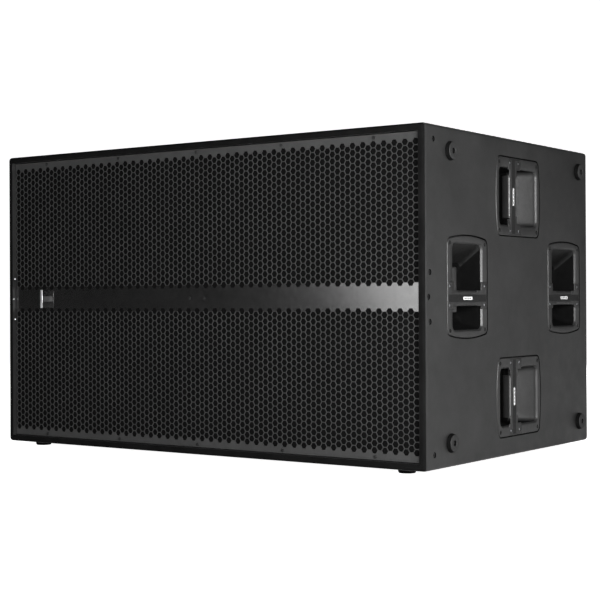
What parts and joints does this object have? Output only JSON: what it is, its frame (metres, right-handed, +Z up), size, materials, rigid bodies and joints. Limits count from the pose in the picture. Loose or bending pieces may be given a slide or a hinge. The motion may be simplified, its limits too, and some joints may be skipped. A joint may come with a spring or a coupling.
{
  "type": "subwoofer cabinet",
  "caption": "Powered touring subwoofer: a coated plywood cabinet with woofers behind a hexagon-mesh grille, corner ports, recessed side handles, rubber feet and a rear amplifier plate.",
  "frame": {"origin": "on the floor, under the middle of the overall box: feet bottoms at z = 0, the middle of the front-to-back depth at y = 0", "axes": "+Z up; the grille faces -Y and the amplifier +Y; the side with the rubber feet faces +X"},
  "size_m": [1.2, 0.785, 0.71],
  "materials": {
    "coating": "dark textured polyurea coat on 15 mm birch plywood, rough",
    "plywood": "bare birch plywood, sanded",
    "grille_metal": "satin dark powder coat on perforated steel",
    "foam": "open-cell black acoustic foam",
    "badge_metal": "satin silver bar on a black plate",
    "handle_plastic": "fine-grained moulded black polyamide",
    "foot_rubber": "matt moulded rubber",
    "cast_basket": "black powder-coated die casting",
    "magnet_metal": "plated steel plates round a magnet",
    "cone_paper": "black pressed paper pulp, slightly fibrous",
    "surround_rubber": "soft matt rubber",
    "spider_cloth": "varnished woven cotton",
    "port_plastic": "smooth black moulded plastic",
    "amp_plate_metal": "black anodised finned plate",
    "housing_steel": "zinc-plated folded sheet",
    "board_laminate": "green glass-epoxy laminate with black sockets",
    "socket_plastic": "black moulded connector body",
    "control_plastic": "black moulded control cap"
  },
  "bodies": {
    "cabinet": {"amp_batten_frame": "plywood", "amp_housing": "housing_steel", "amp_plate": "amp_plate_metal", "badge": "badge_metal", "bottom_panel": "coating", "centre_brace": "plywood", "front_baffle": "coating", "front_left_bottom_foot": "foot_rubber", "front_right_bottom_foot": "foot_rubber", "grille": "grille_metal", "grille_batten_frame": "coating", "grille_foam": "foam", "input_board": "board_laminate", "left_front_handle_cup": "handle_plastic", "left_front_handle_grip": "handle_plastic", "left_lower_handle_cup": "handle_plastic", "left_lower_handle_grip": "handle_plastic", "left_rear_handle_cup": "handle_plastic", "left_rear_handle_grip": "handle_plastic", "left_side_panel": "coating", "left_upper_handle_cup": "handle_plastic", "left_upper_handle_grip": "handle_plastic", "left_woofer_basket": "cast_basket", "left_woofer_magnet": "magnet_metal", "left_woofer_spider": "spider_cloth", "left_woofer_surround": "surround_rubber", "lower_front_side_foot": "foot_rubber", "lower_left_port": "port_plastic", "lower_rear_side_foot": "foot_rubber", "lower_right_port": "port_plastic", "mains_inlet": "socket_plastic", "mains_link": "socket_plastic", "rear_left_bottom_foot": "foot_rubber", "rear_panel": "coating", "rear_right_bottom_foot": "foot_rubber", "right_front_handle_cup": "handle_plastic", "right_front_handle_grip": "handle_plastic", "right_lower_handle_cup": "handle_plastic", "right_lower_handle_grip": "handle_plastic", "right_rear_handle_cup": "handle_plastic", "right_rear_handle_grip": "handle_plastic", "right_side_panel": "coating", "right_upper_handle_cup": "handle_plastic", "right_upper_handle_grip": "handle_plastic", "right_woofer_basket": "cast_basket", "right_woofer_magnet": "magnet_metal", "right_woofer_spider": "spider_cloth", "right_woofer_surround": "surround_rubber", "top_panel": "coating", "upper_front_side_foot": "foot_rubber", "upper_left_port": "port_plastic", "upper_rear_side_foot": "foot_rubber", "upper_right_port": "port_plastic"},
    "left_cone": {"left_woofer_cone": "cone_paper", "left_woofer_dust_cap": "cone_paper"},
    "right_cone": {"right_woofer_cone": "cone_paper", "right_woofer_dust_cap": "cone_paper"},
    "level_control": {"level_knob": "control_plastic"},
    "encoder_control": {"encoder_knob": "control_plastic"},
    "bypass_control": {"bypass_button": "control_plastic"}
  },
  "joints": [
    {"name": "left_cone_travel", "type": "slide", "parent": "cabinet", "child": "left_cone", "axis": [0, 1, 0], "range_m": [-0.012, 0.012], "stiffness_N_per_m": 10000, "deforming": ["left_woofer_surround", "left_woofer_spider"]},
    {"name": "right_cone_travel", "type": "slide", "parent": "cabinet", "child": "right_cone", "axis": [0, 1, 0], "range_m": [-0.012, 0.012], "stiffness_N_per_m": 10000, "deforming": ["right_woofer_surround", "right_woofer_spider"]},
    {"name": "level_turn", "type": "hinge", "parent": "cabinet", "child": "level_control", "pos_m": [-0.063, 0.3778, 0.378], "axis": [0, 1, 0], "range_deg": [-150, 150]},
    {"name": "encoder_turn", "type": "hinge", "parent": "cabinet", "child": "encoder_control", "pos_m": [-0.129, 0.3778, 0.378], "axis": [0, 1, 0], "continuous": true},
    {"name": "bypass_press", "type": "slide", "parent": "cabinet", "child": "bypass_control", "axis": [0, -1, 0], "range_m": [0, 0.002], "stiffness_N_per_m": 900, "springref_m": -0.0006}
  ]
}
